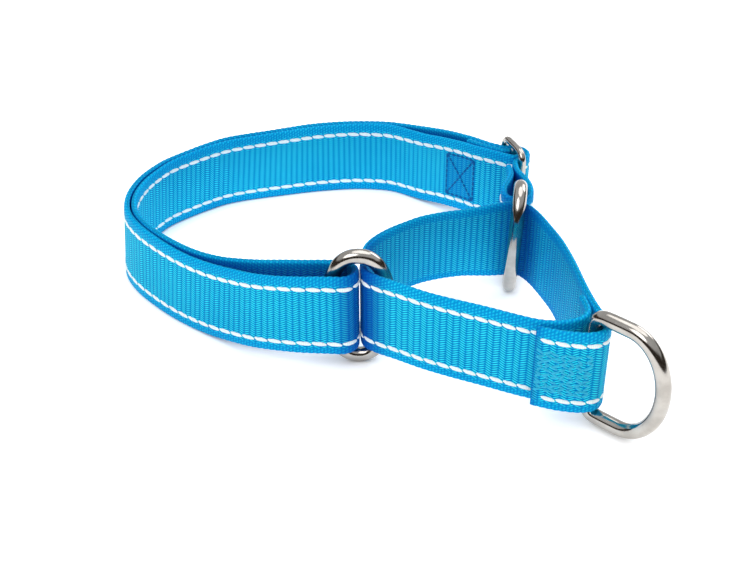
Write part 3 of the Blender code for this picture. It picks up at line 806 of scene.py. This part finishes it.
def nickel_material():
    """Bright nickel plate with faint polishing marks and slightly dull patches."""
    made, n, shader = new_material("polished_nickel")
    place = n.add("ShaderNodeTexCoord").outputs["Object"]
    stretch = n.add("ShaderNodeMapping")
    stretch.inputs["Scale"].default_value = (1.0, 1.0, 0.12)
    n.link(place, stretch.inputs["Vector"])
    marks = n.noise(stretch.outputs[0], 5200.0, 3.0)
    patches = n.noise(place, 210.0, 3.0)
    n.link(n.mix(n.between(patches, 0.35, 0.7), rgb(*NICKEL), rgb(*NICKEL_DULL)),
           shader.inputs["Base Color"])
    shader.inputs["Metallic"].default_value = 1.0
    rough = n.math("MULTIPLY_ADD", patches, 0.10, 0.06)
    n.link(n.math("MULTIPLY_ADD", marks, 0.05, rough), shader.inputs["Roughness"])
    n.bump(shader, n.math("ADD", marks, n.math("MULTIPLY", patches, 0.6)), 0.12, 0.00005)
    return made


def bend(piece, name):
    """Bakes a piece of webbing's placement into its mesh."""
    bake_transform(piece)


# ---------------------------------------------------------------- the soft pieces
def both_rows(*names):
    return [f"{name}_tracer_{level}" for name in names for level in ("lower", "upper")]


def make_main_strap(strap, cloth, yarn, thread):
    web = make_webbing("main_webbing", strap, 0, strap.length, cloth)
    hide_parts("main_strap_front", "main_strap_outer", "main_strap_inner")
    bend(web, "left")
    marks = lay_threads("main_yarns", strap, dashes(1.0, strap.length - 1.0, DASH_PITCH["main"]),
                        DASH_HEIGHT, DASH_RISE, 1, yarn, DASH_SLANT)
    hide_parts(*both_rows("main_outer_front", "main_inner_front",
                                  "main_outer_rear", "main_inner_rear"))
    bend(marks, "left")
    low, high = BOX_MARGIN, WEB_WIDTH - BOX_MARGIN
    box = strap.where(TAB_BOX, 20.0, 80.0)
    sewn = lay_threads("slider_tab_sewing", strap, box_cross(box - BOX_LENGTH / 2, BOX_LENGTH, low, high),
                       STITCH_WIDTH, STITCH_RISE, 1, thread)
    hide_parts("slider_tab_stitch")
    rows = zigzag_rows(strap.length - RING_TAB_FROM_END, low, high, **RING_TAB_ROWS)
    tab = lay_threads("ring_tab_sewing", strap, rows, STITCH_WIDTH, STITCH_RISE, 1, thread)
    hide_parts("ring_tab_stitch")
    for piece in (sewn, tab):
        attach(piece, "root")


def make_control_strap(strap, cloth, yarn, thread):
    at_fold_end = strap.where(FOLD_END)
    at_ring = strap.where(FLEX_RING)
    stretches = [("control_webbing_front", 0.0, at_fold_end, "front",
                  ("control_strap_front",), ("control_front",)),
                 ("control_webbing_rear", at_fold_end, at_ring, "rear",
                  ("control_strap_rear_left", "control_strap_rear_right"),
                  ("control_rear_left", "control_rear_right")),
                 ("control_webbing_right", at_ring, strap.length, "right",
                  ("control_strap_right", "control_strap_flap"), ("control_right", "control_flap"))]
    for name, start, end, joint, nodes, rows in stretches:
        web = make_webbing(name, strap, start, end, cloth)
        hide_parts(*nodes)
        bend(web, joint)
        first = {"front": INNER_TAB, "rear": start, "right": start + 0.3}[joint]
        last = end + (DASH_PITCH["control"] * DASH_SHARE if joint == "front" else -0.1)
        marks = lay_threads(name.replace("webbing", "yarns"), strap,
                            dashes(first, last, DASH_PITCH["control"]),
                            DASH_HEIGHT, DASH_RISE, 1, yarn, DASH_SLANT)
        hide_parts(*both_rows(*rows))
        bend(marks, joint)
    low, high = ZIGZAG_MARGIN, WEB_WIDTH - ZIGZAG_MARGIN
    rows = zigzag_rows(strap.length - FLAP_FROM_END, low, high, **FLAP_ROWS)
    flap = lay_threads("flap_sewing", strap, rows, STITCH_WIDTH, STITCH_RISE, 1, thread)
    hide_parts("flap_stitch")
    rows = zigzag_rows(INNER_FROM_END, low, high, **INNER_ROWS)
    tab = lay_threads("inner_end_sewing", strap, rows, STITCH_WIDTH, STITCH_RISE, -1, thread)
    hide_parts("inner_end_stitch")
    for piece in (flap, tab):
        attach(piece, "control_front")


# ---------------------------------------------------------------- stage
def make_floor():
    """A pale sweep with a soft contact shadow."""
    made, n, shader = new_material("pale_floor")
    shader.inputs["Base Color"].default_value = rgb(*FLOOR_WHITE)
    shader.inputs["Roughness"].default_value = 0.9
    shader.inputs["Emission Color"].default_value = rgb(1, 1, 1)
    glow = n.math("MULTIPLY", n.between(n.openness(FLOOR_NOOK, 8, False), 0.0, 0.85), FLOOR_GLOW)
    n.link(glow, shader.inputs["Emission Strength"])
    corners = [(x * FLOOR_HALF, y * FLOOR_HALF, 0) for x, y in ((-1, -1), (1, -1), (1, 1), (-1, 1))]
    mesh_object("floor", corners, [(0, 1, 2, 3)], made)


def make_light(name, place, size, power):
    data = bpy.data.lights.new(name, "AREA")
    data.shape = "DISK"
    data.size = size
    data.energy = power
    light = bpy.data.objects.new(name, data)
    light.location = place
    light.rotation_mode = "QUATERNION"
    light.rotation_quaternion = (-Vector(place)).to_track_quat("-Z", "Y")
    bpy.context.scene.collection.objects.link(light)


def make_world():
    """Bright studio surroundings, with a darker room behind the camera and beyond both sides of the
    sweep for the metal to reflect."""
    world = bpy.data.worlds.new("studio")
    world.use_nodes = True
    n = Nodes(world.node_tree)
    shader = world.node_tree.nodes["Background"]
    split = n.add("ShaderNodeSeparateXYZ")
    n.link(n.add("ShaderNodeTexCoord").outputs["Generated"], split.inputs[0])
    x, y, z = split.outputs
    ahead = n.between(n.math("MULTIPLY", y, -1.0), 0.35, 0.75)
    behind = n.math("MULTIPLY", ahead, n.between(z, 0.62, 0.40))
    sideways = n.between(n.math("ABSOLUTE", x), 0.45, 0.75)
    band = n.math("MULTIPLY", n.between(z, 0.0, 0.06), n.between(z, 0.42, 0.30))
    room = n.math("MAXIMUM", behind, n.math("MULTIPLY", sideways, band))
    n.link(n.mix(room, rgb(*STUDIO), rgb(*ROOM)), shader.inputs["Color"])
    shader.inputs["Strength"].default_value = STUDIO_STRENGTH
    bpy.context.scene.world = world


def make_camera():
    data = bpy.data.cameras.new("camera")
    data.lens = LENS
    data.sensor_width = SENSOR
    data.clip_start = 0.01
    camera = bpy.data.objects.new("camera", data)
    target = Vector((SHIFT[0] * MM, SHIFT[1] * MM, 0.0))
    camera.location = target + Vector(CAMERA_OFFSET)
    camera.rotation_mode = "QUATERNION"
    camera.rotation_quaternion = (target - camera.location).to_track_quat("-Z", "Y")
    bpy.context.scene.collection.objects.link(camera)
    bpy.context.scene.camera = camera


def make_stage():
    make_floor()
    for light in LIGHTS:
        make_light(*light)
    make_world()
    make_camera()
    bpy.context.scene.view_settings.view_transform = "Standard"


# ---------------------------------------------------------------- assembly
make_stage()
main_strap, control_strap = Strap(main_route()), Strap(control_route())
front_fold = main_strap.where((FRONT_FOLD[0] + FOLD_RADIUS, FRONT_FOLD[1]))
rear_fold = main_strap.where(
    beside(REAR_RING, REAR_RING_TURN + pi / 2, REAR_FOLD_REACH - REAR_FOLD_RADIUS, 0), 300.0)
in_fold, in_ring = control_strap.where(FRONT_TURN), control_strap.where(FLEX_RING)
# painted shade in the folds at both rings and along the control strap's right run, and a painted shadow at
# the flap's end
main_cloth = webbing_material("woven_nylon_main", [
    (front_fold + 2.0, 8.0, 0.9, False), (rear_fold, 10.0, 0.5, False)], BOX_PATCH)
control_cloth = webbing_material("woven_nylon_control", [
    (in_fold - 3.5, 9.5, 1.0, False), (in_fold + 4.0, 16.0, 0.85, True),
    (in_ring + 4.0, 16.0, 0.85, True), (in_ring + 20.0, 36.0, 0.34, True),
    (control_strap.length, 2.6, 0.55, False)])
yarn_finish = yarn_material("reflective_yarn", REFLECTIVE, 0.42, 0.35)
box_thread = yarn_material("box_thread", BOX_THREAD, 0.36, 0.6)
flap_thread = yarn_material("flap_thread", FLAP_THREAD, 0.36, 0.5)
make_main_strap(main_strap, main_cloth, yarn_finish, box_thread)
make_control_strap(control_strap, control_cloth, yarn_finish, flap_thread)
make_hardware(nickel_material())
